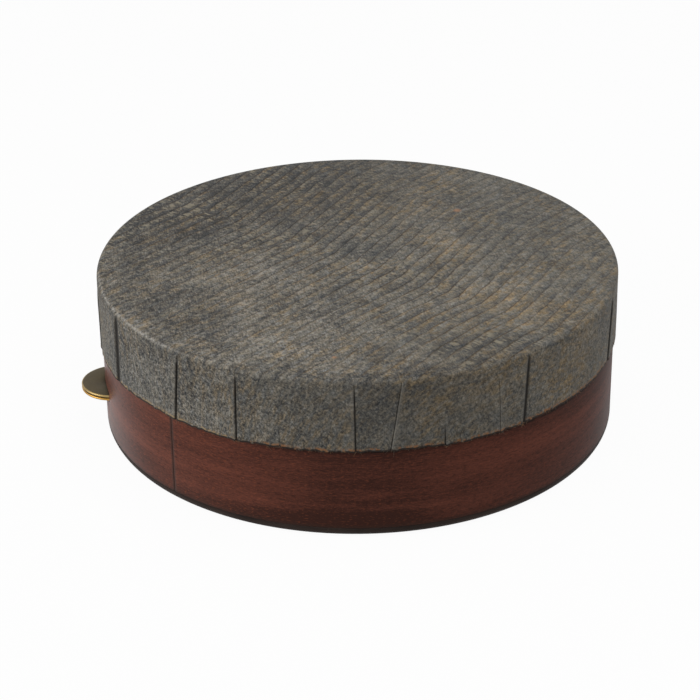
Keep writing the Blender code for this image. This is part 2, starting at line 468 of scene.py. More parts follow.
pick(core, "FACE", in_rabbet)
bpy.ops.mesh.extrude_region_shrink_fatten(TRANSFORM_OT_shrink_fatten={"value": -RABBET_DEPTH})
close_up()
cut_with(core, slot_bar)
cut_with(core, pin_drill)
shade(core)
report(core)

# %% [markdown]
# ## The veneer
# A strip of figured wood half a millimetre thick is bent round the core, and its ends butt at one upright
# seam. We start from an open cylinder, give it thickness inwards with Solidify, part it with a thin blade
# at the seam, and break its sharp edges with a fine bevel so that they catch the light.

# %% Model the veneer
SEAM_TURN = math.radians(-95.7)
SEAM_WIDTH = 0.14 * MM
VENEER_BREAK = 0.12 * MM

clear_selection()
bpy.ops.mesh.primitive_cylinder_add(
    vertices=ROUND_STEPS,
    radius=SHELL_RADIUS,
    depth=VENEER_TOP - VENEER_FOOT,
    end_fill_type="NOTHING",
    location=(0, 0, (VENEER_TOP + VENEER_FOOT) / 2),
)
veneer = begin("veneer")
bpy.ops.mesh.normals_make_consistent(inside=False)
bpy.ops.object.mode_set(mode="OBJECT")
apply_modifier(veneer, "SOLIDIFY", thickness=VENEER_THICKNESS, offset=-1.0, use_even_offset=True)

bpy.ops.mesh.primitive_cube_add(
    size=1.0,
    scale=(WALL, SEAM_WIDTH, 2 * HEAD_TOP),
    rotation=(0, 0, SEAM_TURN),
    location=(SHELL_RADIUS * math.cos(SEAM_TURN), SHELL_RADIUS * math.sin(SEAM_TURN), HEAD_TOP / 2),
)
seam_blade = bpy.context.object
cut_with(veneer, slot_bar)
cut_with(veneer, seam_blade)
apply_modifier(
    veneer, "BEVEL", width=VENEER_BREAK, segments=2, limit_method="ANGLE", angle_limit=math.radians(50)
)
discard(seam_blade)
discard(slot_bar)
discard(pin_drill)
shade(veneer)
report(veneer)

# %% [markdown]
# ## The skin: where its pleats fall
# A flat disc cannot fold over a round rim without spare edge, so the skirt is gathered into pleats. Each
# one is a crease painted dark as shade, with a lip beside it. We list them: azimuth at the hem and drift
# towards the top in degrees, where it starts as a share of the skirt (below 0 means on the rolled edge),
# lip height and crease width in mm, which side laps over, and how much lighter or darker the skirt is
# painted from there to the next one, partly its tone and partly painted shade. The columns of the mesh then
# crowd towards each crease, where the shape changes fast.

# %% List the pleats and the columns of the mesh
PLEATS = (
    (-131.5, -0.5, -0.05, 0.60, 0.85, -1.0, 0.0),
    (-115.5, 0.5, -0.22, 0.75, 1.15, -1.0, 0.3),
    (-93.6, 1.2, -0.17, 0.60, 0.28, -1.0, 0.0),
    (-78.2, 0.2, -0.14, 0.60, 0.24, -1.0, -0.6),
    (-68.8, 0.0, 0.55, 0.12, 0.02, 0.0, -0.6),
    (-53.2, -0.2, -0.14, 0.45, 0.22, -1.0, -1.2),
    (-46.1, 2.2, -0.24, 0.75, 0.13, 1.0, -0.4),
    (-34.8, -0.3, 0.52, 0.55, 0.20, 1.0, -0.6),
    (-22.3, -0.7, 0.05, 0.45, 0.02, 0.5, -0.5),
    (-16.4, 1.0, -0.22, 0.65, 0.62, -1.0, 0.0),
    (9.0, 0.0, 0.02, 0.60, 0.06, -1.0, -0.2),
    (17.3, 2.4, -0.10, 0.60, 0.85, 1.0, 0.0),
    (37.0, -0.8, 0.40, 0.45, 0.28, 1.0, 0.2),
    (51.0, 0.6, 0.20, 0.60, 0.42, -1.0, -0.4),
    (73.0, 0.0, 0.25, 0.55, 0.36, 1.0, 0.3),
    (81.0, 0.8, 0.45, 0.35, 0.26, 0.5, -0.2),
    (102.0, 0.0, 0.12, 0.60, 0.46, 1.0, 0.4),
    (121.0, -0.6, 0.28, 0.50, 0.32, -1.0, 0.0),
    (136.0, 0.0, 0.12, 0.60, 0.44, 1.0, -0.5),
    (150.0, 0.5, 0.50, 0.30, 0.26, 0.0, 0.2),
    (166.0, 0.0, 0.15, 0.60, 0.42, -1.0, 0.3),
    (183.0, 1.0, 0.25, 0.50, 0.32, 1.0, -0.3),
    (207.0, 0.0, 0.12, 0.60, 0.44, 1.0, 0.1),
)
SKIN_THICKNESS = 0.3 * MM
SKIN_RADIUS = SHELL_RADIUS + GAP + SKIN_THICKNESS
EVEN_COLUMNS = 420
COLUMN_CLEARANCE = 0.5
CREASE_COLUMNS = (0.0, 0.12, 0.24, 0.38, 0.55, 0.80, 1.20, 1.80, 2.60)
mm_per_degree = SKIN_RADIUS * math.radians(1.0) / MM


def turn_from(first, second):
    """Degrees from one azimuth to another, between -180 and 180."""
    return (second - first + 180.0) % 360.0 - 180.0


crowded = {side * off for off in CREASE_COLUMNS for side in (-1, 1)}
at_pleats = [pleat[0] + off / mm_per_degree for pleat in PLEATS for off in crowded]
clear_of = (CREASE_COLUMNS[-1] + COLUMN_CLEARANCE) / mm_per_degree
evenly = [360.0 * i / EVEN_COLUMNS for i in range(EVEN_COLUMNS)]
evenly = [a for a in evenly if all(abs(turn_from(a, pleat[0])) > clear_of for pleat in PLEATS)]
columns = np.array(sorted(a % 360.0 for a in evenly + at_pleats))
print(len(PLEATS), "pleats,", len(columns), "columns round the skirt")

# %% [markdown]
# ## The skin: its rings
# The skin is one sheet: a flat playing face that rolls over the edge and hangs down the side. By hand it
# would be a circle whose rim is extruded again and again, and that is what happens here. The rings are
# pulled straight down one unit at a time, so each vertex tells its ring, and its column counted from +Y,
# where Blender's circle starts.

# %% Pull out the rings
EDGE_RINGS = 9
SKIRT_RINGS = 28

clear_selection()
bpy.ops.mesh.primitive_circle_add(vertices=len(columns), radius=1.0, fill_type="TRIFAN")
skin = begin("skin")
bpy.ops.mesh.select_mode(type="EDGE")
bpy.ops.mesh.select_all(action="SELECT")
bpy.ops.mesh.region_to_loop()
for _ in range(EDGE_RINGS + SKIRT_RINGS - 1):
    bpy.ops.mesh.extrude_edges_move(TRANSFORM_OT_translate={"value": (0, 0, -1)})
bpy.ops.object.mode_set(mode="OBJECT")

loose = np.empty(len(skin.data.vertices) * 3)
skin.data.vertices.foreach_get("co", loose)
loose = loose.reshape(-1, 3)
ring_of = np.rint(-loose[:, 2]).astype(int)
turn_of = np.degrees(np.arctan2(-loose[:, 0], loose[:, 1])) % 360.0
column_of = np.rint(turn_of * len(columns) / 360.0).astype(int) % len(columns)
is_middle = np.hypot(loose[:, 0], loose[:, 1]) < 0.5
print("skin pulled out into", ring_of.max() + 1, "rings")

# %% [markdown]
# ## The skin: its shape
# Now numpy gives every vertex its real place: the rolled edge, a slight swell round the skirt, a hem that
# tilts, wanders and is ragged, and the pleats. Beside each crease the skin swells into a lip that dies
# away, and the lip is low on the side that lies under. We keep how deep in a crease and how high on a lip
# each vertex is, because the creases are painted with shade and the lips are painted paler, as wear and as
# a painted highlight.

# %% Give every vertex its place
EDGE_ROUND = 1.6 * MM
HEM_HEIGHT = 31.6 * MM
HEM_TILT = 0.5 * MM
HEM_WANDER = 0.3 * MM
HEM_RAGGED = 0.20 * MM
SKIRT_SWELL = 0.10 * MM
CREASE_DEPTH = 0.22 * MM
CREASE_TOP_SHARE = 0.35
PLEAT_RISE = 0.38
DRIFT_REACH = 4.0
LIP_REACH = 2.6
UNDER_LOWER = 0.75
FULL_LIP = 0.65
LIP_MARK_REACH = 0.8
FULL_SHADE_WIDTH = 0.30
SHADE_REACH = 0.9
SHADE_BESIDE = 0.28


def smooth(low, high, value):
    """Smooth step from 0 at low to 1 at high."""
    share = np.clip((value - low) / (high - low), 0.0, 1.0)
    return share * share * (3.0 - 2.0 * share)


def ripples(turn, seed, counts):
    """A sum of waves round the drum, between about -1 and 1."""
    draw = np.random.default_rng(seed)
    total = np.zeros_like(turn)
    for count in counts:
        total += np.sin(count * np.radians(turn) + draw.uniform(0, 2 * math.pi)) / len(counts) ** 0.5
    return total


azimuth = columns[column_of]
rolled = np.clip(ring_of / (EDGE_RINGS - 1), 0.0, 1.0)
on_edge = rolled * math.pi / 2
down = np.clip((ring_of - EDGE_RINGS + 1) / SKIRT_RINGS, 0.0, 1.0)
hem = HEM_HEIGHT + HEM_TILT * np.cos(np.radians(azimuth) - VIEW_TURN)
hem = hem + HEM_WANDER * ripples(azimuth, 3, (3, 7, 13))
hem = hem + HEM_RAGGED * ripples(azimuth, 5, (61, 97, 143, 171, 203)) * smooth(0.8, 1.0, down)
edge_low = HEAD_TOP - EDGE_ROUND
height = np.where(down > 0, edge_low + (hem - edge_low) * down, edge_low + EDGE_ROUND * np.cos(on_edge))
radius = SKIN_RADIUS - EDGE_ROUND * (1.0 - np.sin(on_edge))
radius = radius + SKIRT_SWELL * ripples(azimuth, 8, (9, 14, 23)) * smooth(0.1, 0.7, down)

crease = np.zeros_like(radius)
lip = np.zeros_like(radius)
drifted = azimuth.copy()
for centre, drift, begins, lip_height, crease_width, lap, _ in PLEATS:
    away = turn_from(centre, azimuth)
    inside = np.clip(1.0 - np.abs(away) / DRIFT_REACH, 0.0, 1.0)
    drifted += drift * (1.0 - down) * smooth(0.0, 1.0, inside)
    offset = away * mm_per_degree
    grown = smooth(begins, begins + PLEAT_RISE, down) * smooth(0.3, 1.0, rolled)
    laps = np.where(offset * lap > 0, 1.0, 1.0 - UNDER_LOWER * abs(lap))
    swell = lip_height * laps * np.exp(-np.abs(offset) / LIP_REACH)
    width = crease_width * (CREASE_TOP_SHARE + (1.0 - CREASE_TOP_SHARE) * grown)
    sunk = np.exp(-((offset / width) ** 2))
    radius = radius + grown * (swell * (1.0 - sunk) * MM - CREASE_DEPTH * sunk)
    # Painted shade in each crease and just beside it, stronger for wider creases.
    beside = np.exp(-((offset / (crease_width + SHADE_REACH)) ** 2))
    shade_share = (1.0 - SHADE_BESIDE) * sunk + SHADE_BESIDE * beside
    crease = np.maximum(crease, grown * shade_share * min(1.0, crease_width / FULL_SHADE_WIDTH))
    # Lips are painted paler: partly rubbed wear, partly painted highlight on the lapping side.
    rubbed_and_highlit = lip_height / FULL_LIP * np.exp(-np.abs(offset) / LIP_MARK_REACH)
    lip = np.maximum(lip, grown * laps * rubbed_and_highlit * (1.0 - sunk))

# Each panel between two pleats is made lighter or darker: partly its own tone, partly painted shade.
in_turn = sorted((pleat[0] % 360.0, pleat[6]) for pleat in PLEATS)
panel = np.searchsorted([turn for turn, _ in in_turn], azimuth, side="right") - 1
panel_tone = np.array([tone for _, tone in in_turn])[panel] * smooth(0.0, 0.4, down)

placed = np.stack([
    radius * np.cos(np.radians(drifted)),
    radius * np.sin(np.radians(drifted)),
    height,
], axis=1)
placed[is_middle] = (0.0, 0.0, HEAD_TOP)
skin.data.vertices.foreach_set("co", placed.ravel())
print("skin from", round(height.min() / MM, 1), "to", round(height.max() / MM, 1), "mm high")

# %% [markdown]
# ## The skin: a flat-cut map and its marks
# The rows on the hide were there before it was folded, so the finish must follow the flat cut, not the
# drum. A UV map stores where each point lay on the flat disc, in millimetres from the middle. Six
# attributes mark places on the folded skin: the side wall, the rolled edge, the creases that are painted
# with shade, the lips that are painted paler as wear and highlight, the height above the cut hem, and the
# tone and painted shade of each panel between two pleats.

# %% Map the flat cut and mark the folds
EDGE_BAND_MIDDLE = 0.38
EDGE_BAND_SPREAD = 0.18
FAR_FROM_HEM = 20.0

flat_radius = SKIN_RADIUS - EDGE_ROUND
along = flat_radius + EDGE_ROUND * on_edge + np.where(down > 0, edge_low - height, 0.0)
along = np.where(is_middle, 0.0, along) / MM
cut_turn = np.radians(drifted) - VIEW_TURN
flat_cut = np.stack([along * np.cos(cut_turn), along * np.sin(cut_turn)], axis=1)

corners = np.empty(len(skin.data.loops), dtype=np.int32)
skin.data.loops.foreach_get("vertex_index", corners)
layer = skin.data.uv_layers.new(name="flat_cut")
layer.data.foreach_set("uv", flat_cut[corners].astype(np.float32).ravel())

marks = {
    "side": smooth(0.15, 1.0, rolled),
    "edge": np.exp(-(((rolled - EDGE_BAND_MIDDLE) / EDGE_BAND_SPREAD) ** 2)) * (down == 0),
    "crease": crease,
    "lip": lip,
    "above_hem": np.where(down > 0, (height - hem) / MM, FAR_FROM_HEM),
    "panel_tone": panel_tone,
}
for name, values in marks.items():
    skin.data.attributes.new(name, "FLOAT", "POINT").data.foreach_set("value", values.astype(np.float32))

bpy.ops.object.mode_set(mode="EDIT")
close_up()
apply_modifier(skin, "SOLIDIFY", thickness=SKIN_THICKNESS, offset=-1.0)
shade(skin, 60.0)
report(skin)

# %% [markdown]
# ## Loose fibres at the hem
# Where the skirt is trimmed, short fibres stick out of the cut. One strand is modelled as a thin cone; the
# rest are copies of its few vertices, each turned, stretched and set along the hem with seeded random
# draws, so that the fringe is the same every time.

# %% Sow the hem fibres
FIBRES = 900
FIBRE_WIDTH = 0.10 * MM
FIBRE_SHORT = 0.35 * MM
FIBRE_SPREAD = 0.45 * MM
FIBRE_WIDER = (0.6, 1.3)
FIBRE_SIDEWAYS = 0.9
FIBRE_OUTWARD = (-0.1, 0.45)
FIBRE_ROOT = (0.05, 0.5)
FIBRE_SUNK = 0.10 * MM
draw = random.Random(17)

clear_selection()
bpy.ops.mesh.primitive_cone_add(vertices=4, radius1=0.5, radius2=0.15, depth=1.0, location=(0, 0, 0.5))
strand = begin("strand")
bpy.ops.object.mode_set(mode="OBJECT")
strand_points = np.array([vert.co for vert in strand.data.vertices])
strand_faces = [tuple(face.vertices) for face in strand.data.polygons]

hem_ring = (ring_of == EDGE_RINGS + SKIRT_RINGS - 1) & ~is_middle
order = np.argsort(column_of[hem_ring])
hem_points = placed[hem_ring][order]
fibre_points = []
fibre_faces = []
for _ in range(FIBRES):
    place = draw.uniform(0, len(hem_points))
    first = hem_points[int(place) % len(hem_points)]
    second = hem_points[(int(place) + 1) % len(hem_points)]
    root = Vector(first + (second - first) * (place % 1.0))
    outward = Vector((root.x, root.y, 0.0)).normalized()
    sideways = Vector((-outward.y, outward.x, 0.0))
    heading = Vector((0, 0, -1)) + sideways * draw.gauss(0, FIBRE_SIDEWAYS)
    heading += outward * draw.uniform(*FIBRE_OUTWARD)
    heading.normalize()
    length = FIBRE_SHORT + draw.expovariate(1.0) * FIBRE_SPREAD
    width = FIBRE_WIDTH * draw.uniform(*FIBRE_WIDER)
    turned = heading.to_track_quat("Z", "Y").to_matrix()
    root += Vector((0, 0, draw.uniform(*FIBRE_ROOT) * MM)) - outward * FIBRE_SUNK
    spot = strand_points * np.array((width, width, length))
    fibre_faces += [tuple(len(fibre_points) + i for i in face) for face in strand_faces]
    fibre_points += [root + turned @ Vector(point) for point in spot]
discard(strand)
fibre_mesh = bpy.data.meshes.new("hem_fibres")
fibre_mesh.from_pydata(fibre_points, [], fibre_faces)
hem_fibres = bpy.data.objects.new("hem_fibres", fibre_mesh)
bpy.context.scene.collection.objects.link(hem_fibres)
report(hem_fibres)

# %% [markdown]
# ## The jingles
# Two brass discs, like coins with a hole, lie one on the other round the pin. Each is a cylinder whose ends
# are inset to the hole and bridged through, with a round nose on the rim. One function makes both, each at
# its own height, so that both objects stay at the origin.

# %% Model the two jingles
DISC_STEPS = 96
HOLE_RADIUS = 1.9 * MM
RIM_SHARE = 0.49
HOLE_BREAK = 0.12 * MM


def make_jingle(name, node):
    low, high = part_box(node)
    middle = (low + high) / 2
    disc_radius = (high.x - low.x) / 2
    thickness = high.z - low.z
    clear_selection()
    bpy.ops.mesh.primitive_cylinder_add(
        vertices=DISC_STEPS, radius=disc_radius, depth=thickness, location=middle
    )
    disc = begin(name)
    pick(disc, "FACE", is_end)
    bpy.ops.mesh.inset(thickness=disc_radius - HOLE_RADIUS)
    bpy.ops.mesh.bridge_edge_loops()

    def from_axis(edge):
        return [math.hypot(v.co.x - middle.x, v.co.y - middle.y) for v in edge.verts]

    def level(edge):
        return near(edge.verts[0].co.z, edge.verts[1].co.z)

    pick(disc, "EDGE", lambda e: level(e) and min(from_axis(e)) > disc_radius - HOLE_BREAK)
    bpy.ops.mesh.bevel(offset=RIM_SHARE * thickness, segments=6, affect="EDGES")
    pick(disc, "EDGE", lambda e: level(e) and max(from_axis(e)) < HOLE_RADIUS + HOLE_BREAK)
    bpy.ops.mesh.bevel(offset=HOLE_BREAK, segments=2, affect="EDGES")
    close_up()
    shade(disc, 40.0)
    report(disc)
    return disc


lower_jingle = make_jingle("lower_jingle_disc", "jingle_lower")
upper_jingle = make_jingle("upper_jingle_disc", "jingle_upper")

# %% [markdown]
# ## The pin
# A plain steel pin is pressed up through the lower rim and across the slot. It is a cylinder whose two ends
# get a rounded lead-in, which lets a pin start in its hole.

# %% Model the pin
PIN_LEAD = 0.3 * MM

clear_selection()
bpy.ops.mesh.primitive_cylinder_add(
    vertices=PIN_STEPS, radius=PIN_RADIUS, depth=pin_high.z - pin_low.z, location=PIN_AXIS
)
pin = begin("pin")
pick(pin, "EDGE", lambda edge: near(edge.verts[0].co.z, edge.verts[1].co.z))
bpy.ops.mesh.bevel(offset=PIN_LEAD, segments=3, affect="EDGES")
bpy.ops.object.mode_set(mode="OBJECT")
shade(pin, 40.0)
report(pin)

# %% [markdown]
# ## Places on the strip of wood
# Grain needs a coordinate that follows the strip, so we unroll the cylinder: the angle about the axis times
# the radius, and the height. The edge of the skirt tilts, so the distance below it is worked out too. A
# third helper stretches such a place for noise: long round the drum and short upwards.

# %% Unroll the strip
HALF_ROUND = math.pi * SHELL_RADIUS / MM


def unrolled(start):
    """Millimetres round the drum, counted both ways from opposite the seam, and millimetres up."""
    turn = {"Vector": start.here(), "Rotation": (0.0, 0.0, math.pi - SEAM_TURN)}
    x, y, z = start.node("Mapping", None, turn).axes()
    around = x.maths("ARCTAN2", y, x) * (SHELL_RADIUS / MM)
    return around, z / MM


def under_hem(start):
    """How far a place is below the skirt's edge, in millimetres, as the edge tilts round the drum."""
    x, y, z = start.here().axes()
    towards = (x * math.cos(VIEW_TURN) + y * math.sin(VIEW_TURN)) / SHELL_RADIUS
    return (HEM_HEIGHT + towards * HEM_TILT - z) / MM


def strip(around, up, long, tall):
    """A place for noise, stretched so that one unit is this long round the drum and this tall."""
    return around.node("CombineXYZ", None, {0: around / long, 1: up / tall})


print("strip", round(2 * HALF_ROUND), "mm long")

# %% [markdown]
# ## The veneer's finish
# Stained mahogany under a thin lacquer: broad soft bands that run round the drum, short pores and reddish
# flecks along them, and a stain that is darker along some stretches of it. A stretch is four places round
# the drum: where it starts, is full, fades and ends. One stretch, turned away from the lamp, is painted
# darker as shade, and the upper wood is painted darker as the skirt's shadow; the wood is also darker
# towards the foot. One stretch is polished by hands. A painted shadow line shows below the skirt, the
# lowest part is darker still, and there is dirt in the seam.

# %% Stain and lacquer the veneer
DARK_STRETCH = (-262.0, -208.0, -70.0, -30.0)
DARKEST_STRETCH = (-246.0, -216.0, -204.0, -180.0)
BRIGHT_STRETCH = (-198.0, -180.0, -166.0, -146.0)
SHADED_SIDE_STRETCH = (-130.0, -95.0, -70.0, -40.0)
HEM_SHADOW_STRETCH = (-262.0, -205.0, 60.0, 120.0)
HANDLED_STRETCH = (60.0, 140.0, 244.0, 270.0)
LACQUER = {"Specular IOR Level": 0.05, "Coat IOR": 1.15, "Coat Roughness": 0.30}

stain, shader, start = new_finish("stained_mahogany", LACQUER)
around, up = unrolled(start)
foot = VENEER_FOOT / MM
bands = strip(around, up, 85.0, 6.5).noise(1.0, 2.0, 0.5, 0.5)
streaks = strip(around, up, 14.0, 1.5).noise(1.0, 2.0, 0.5, 0.3)
pores = strip(around, up, 1.9, 0.55).noise(1.0, 1.0, 0.5)
dust = strip(around, up, 0.55, 0.40).noise(1.0, 1.0, 0.5)
figure = bands * 0.45 + streaks * 0.20 + pores * 0.26 + dust * 0.20 - 0.055
darker = around.between(*DARK_STRETCH)
darkest = around.between(*DARKEST_STRETCH)
# The stretch that turns away from the lamp is painted darker as shade, and its lacquer is heavier.
shaded_side = around.between(*SHADED_SIDE_STRETCH)
# Painted shadow of the skirt darkens the upper wood, and the wood is darker towards the foot.
edges = up.step(foot + 9.0, foot) + up.step(22.0, 33.0) * 0.7
depth = darker * 0.070 + shaded_side * 0.060 + edges * 0.09 - around.between(*BRIGHT_STRETCH) * 0.034
depth = depth + darkest * (0.035 + up.step(16.0, 12.0) * 0.08)
wood = start.node("ValToRGB", {"stops": (
    (0.32, (0.044, 0.0160, 0.0115)),
    (0.50, (0.108, 0.0350, 0.0235)),
    (0.70, (0.200, 0.0640, 0.0400)),
)}, {0: figure - depth})
flecks = strip(around, up, 1.3, 0.38).noise(1.0, 1.0, 0.5).step(0.55, 0.72)
wood = (flecks * (0.55 - darker * 0.25)).blend(wood, rgb(0.235, 0.066, 0.032))
dark_pores = pores.step(0.40, 0.28)
wood = (dark_pores * 0.35).blend(wood, rgb(0.040, 0.015, 0.011))
# The lowest 1.6 mm of the strip is darker still.
darker_foot = up.step(foot + 1.6, foot - 0.2)
wood = (darker_foot * 0.8).blend(wood, rgb(0.040, 0.021, 0.016))
# A painted shadow line on the wood just below the skirt's hem, broken up by noise.
below_hem = under_hem(start) - around.step(-185.0, -140.0) * 0.55
hem_shadow_breaks = strip(around, up, 6.0, 6.0).noise(1.0, 2.0, 0.6).step(0.30, 0.55)
hem_shadow = below_hem.step(1.15, 0.60) * hem_shadow_breaks * around.between(*HEM_SHADOW_STRETCH)
wood = (hem_shadow * 0.85).blend(wood, rgb(0.014, 0.008, 0.006))
from_seam = HALF_ROUND - around.maths("ABSOLUTE", around)
wood = (from_seam.step(1.15, 0.25) * 0.62).blend(wood, rgb(0.030, 0.024, 0.021))
polish = 0.42 + pores * 0.10 + dark_pores * 0.10 + darker * 0.15
lacquer = 0.11 + around.between(*HANDLED_STRETCH) * 0.34 + shaded_side * 0.09
dents = start.node("Bump", None, {"Strength": 0.25, "Distance": 0.05 * MM, "Height": pores + dust * 0.5})
feed(shader, Base_Color=wood, Roughness=polish, Coat_Weight=lacquer, Normal=dents)
veneer.data.materials.append(stain)
print("veneer stained")

# %% [markdown]
# ## The core's finish
# The core is dark, dense fibre board, nearly black-brown and satin all over. It is wound from thin layers,
# which show as faint lines round the hoop, with fine pale specks.

# %% Finish the core
board, shader, start = new_finish("dark_fibre_board", {"Specular IOR Level": 0.05})
around, up = unrolled(start)
place = start.here()
layers = strip(around, up, 40.0, 0.55).noise(1.0, 2.0, 0.6)
specks = place.noise(1600.0, 2.0, 0.6)
clouds = place.noise(70.0, 3.0, 0.5)
dark = start.node("ValToRGB", {"stops": (
    (0.30, (0.018, 0.0130, 0.0115)),
    (0.55, (0.037, 0.0260, 0.0220)),
    (0.80, (0.064, 0.0460, 0.0385)),
)}, {0: layers * 0.5 + clouds * 0.5})
dark = (specks.step(0.62, 0.75) * 0.45).blend(dark, rgb(0.070, 0.052, 0.043))
rough = 0.42 + specks * 0.25
grain = start.node("Bump", None, {"Strength": 0.3, "Distance": 0.06 * MM, "Height": layers + specks * 0.6})
feed(shader, Base_Color=dark, Roughness=rough, Normal=grain)
core.data.materials.append(board)
print("core finished")

# %% [markdown]
# ## The skin's finish: rows on the playing face
# The hide shows rows of scales: each row is dull and bluish where it starts, grows paler and tanner, has a
# few pale pips, and ends in a thin brown line under the next one. The dull start and pale end are partly
# the scales' own tint and partly painted shade and light, as if each scale's relief were lit from one side.
# We read the flat-cut map and tilt it so that one coordinate counts the rows, which sway once on their way
# across and shift in a patch at the front. Its fraction then runs from 0 to 1 over each row. The rows fade
# towards the front and the right.

# %% Rows of the skin
ROW_TILT = math.radians(50.3)
ROW_SPACING = 4.88
ROW_START = 0.196
ROW_WAVER = 1.7
ROW_SWAY = math.tan(math.radians(12.7))
SWAY_FROM = -2.0
SWAY_TO = 54.0
SHIFTED_PATCH = (15.0, -56.0, 8.0, 62.0, 31.0)
ROW_SHIFT = 0.5


def laid(place, right, away, angle, long, wide):
    """The place as seen from a middle, in mm, at an angle, with units this long and wide."""
    layout = {
        "Vector": place,
        "Location": (right, away, 0.0),
        "Rotation": (0.0, 0.0, math.radians(angle)),
        "Scale": (long, wide, 1.0),
    }
    return place.node("Mapping", {"vector_type": "TEXTURE"}, layout)


def patch(*layout):
    """1 in the middle of a soft patch and 0 outside it, laid with its half-sizes as units."""
    return laid(*layout).size().step(1.0, 0.15)


def in_rows(long, apart, deep):
    """Noise in grains about this long in mm, which change from row to row and over the depth of a row."""
    place = {0: length / long, 1: count.maths("FLOOR", count) * apart, 2: grown * deep}
    return cut.node("CombineXYZ", None, place).noise(1.0, 1.0, 0.5)


hide, shader, start = new_finish("grey_hide", {"Specular IOR Level": 0.15, "Sheen Weight": 0.06})
cut = start.node("UVMap", {"uv_map": "flat_cut"}, None, "UV")
x, y = cut.axes("XY")
side, edge, crease, lip, above_hem, panel_tone_and_shade_shift = [
    start.node("Attribute", {"attribute_name": name}, None, "Fac") for name in marks
]
to_back = x * 0.60 + y * 0.80
to_right = x * 0.85 + y * 0.50
across = x * -math.sin(ROW_TILT) + y * math.cos(ROW_TILT)
length = x * math.cos(ROW_TILT) + y * math.sin(ROW_TILT)
swayed = length.maths("MINIMUM", length.maths("MAXIMUM", length, SWAY_FROM), SWAY_TO) - SWAY_FROM
wavered = (cut.noise(1 / 9.0, 2.0, 0.6) - 0.5) * ROW_WAVER
count = (across - swayed * ROW_SWAY + wavered) / ROW_SPACING + ROW_START
count = count - patch(cut, *SHIFTED_PATCH) * ROW_SHIFT
grown = count.maths("FRACT", count)
to_line = count.maths("PINGPONG", count, 0.5) * ROW_SPACING
broken = start.node("CombineXYZ", None, {0: length / 8.0, 1: count * 1.7}).noise(1.0, 2.0, 0.6)
clear = to_back.step(-70.0, -15.0, 0.58, 1.0) * (1 - side)
crisp = to_right.step(5.0, 50.0, 1.0, 0.50)
lines = to_line.step(0.44, 0.07) * broken.step(0.28, 0.56, 0.25, 1.0) * clear * crisp
# Each row is painted paler towards its end: partly the scales' tint, partly painted shade and light of
# their relief.
row_tint_and_shading = (grown.step(0.10, 0.80) - 0.5) * clear * to_right.step(5.0, 55.0, 1.0, 0.60) + 0.5
beads = (in_rows(1.7, 4.3, 1.2) - 0.5) * clear
pips = in_rows(1.05, 3.1, 1.6).step(0.54, 0.66) * grown.between(0.25, 0.60, 0.85, 0.98) * clear * crisp
print("rows every", ROW_SPACING, "mm")

# %% [markdown]
# ## The skin's finish: a felt of short fibres
# Close up the hide is a felt: pale and dark fibres a millimetre or two long, lying several ways, larger
# clumps of them, curly hairs, and fine pebbles on the skirt. Noise that is squeezed along one direction
# gives strokes, so several such layers at different angles and sizes are added up. The felt is bolder on
# the left than on the right and calm in one patch at the front. It is painted darker along the front rim
# and on the skirt below it: painted shade where the edge rolls away from the light.

# %% Fibres of the skin
CALM_PATCH = (30.0, -58.0, 25.0, 48.0, 30.0)
CALMING = 0.24
SKIRT_LEFT = -92.0
SKIRT_MIDDLE = 18.0
SHADED_RIM = (80.5, 86.0)
RIM_SHADE = 0.120
MIDDLE_GREY = 0.500


def strokes(angle, long, wide, seed):
    """Strokes on the flat cut, from about -0.5 to 0.5: at an angle, about this long and wide in mm."""
    return laid(cut, 61.0 * seed, 17.0 * seed, angle, long, wide).noise(1.0, 1.0, 0.5) - 0.5


nap = strokes(42.0, 1.7, 0.60, 1)
crossing = strokes(-38.0, 1.5, 0.60, 2)
upright = strokes(102.0, 2.3, 0.55, 3)
cells = strokes(44.0, 3.0, 1.30, 4)
knots = strokes(-25.0, 2.2, 1.40, 5)
clumps = strokes(50.0, 9.0, 4.50, 6)
clouds = cut.noise(1 / 14.0, 2.0, 0.5) - 0.5
grain = cut.noise(2.4, 2.0, 0.6) - 0.5
pebbles = cut.noise(1.05, 0.0, 0.5, 0.6) - 0.5
curls = cut.noise(0.80, 1.0, 0.5, 1.2) - 0.5
hairs = curls.maths("ABSOLUTE", curls).step(0.0, 0.10) - 0.6
fine = nap * 0.24 + crossing * 0.22 + upright * (0.42 - side * 0.26) + grain * (0.36 - side * 0.12)
fine = fine + pebbles * side * 0.34 + hairs * (0.09 + side * 0.06)
coarse = cells * 0.34 + knots * 0.28 + clumps * 0.24 + clouds * 0.30
coarse = coarse * (0.92 - side * x.step(SKIRT_LEFT, SKIRT_MIDDLE, 0.40, 0.15))
head_gain = (x * 0.85 + y * 0.35).step(-80.0, 70.0, 1.38, 0.77) - patch(cut, *CALM_PATCH) * CALMING
skirt_gain = x.step(SKIRT_LEFT, SKIRT_MIDDLE, 1.46, 0.82)
felt = (fine + coarse) * (head_gain * (1 - side) + skirt_gain * side)
# Painted shade along the front of the rim, where the edge rolls away from the light, and on the upper skirt
# below it.
front_rim_shade = cut.size().step(*SHADED_RIM) * x.between(-30.0, 6.0, 10.0, 72.0) * y.step(-40.0, -58.0)
front_rim_shade = front_rim_shade * (1 - side * 0.8) + side * above_hem.step(8.0, 20.0) * x.step(46.0, 4.0) * 0.28
felt = felt - front_rim_shade * RIM_SHADE + beads * 0.25 + (row_tint_and_shading - 0.5) * 0.060 + panel_tone_and_shade_shift * 0.03 + MIDDLE_GREY
print("felt of six layers of strokes")
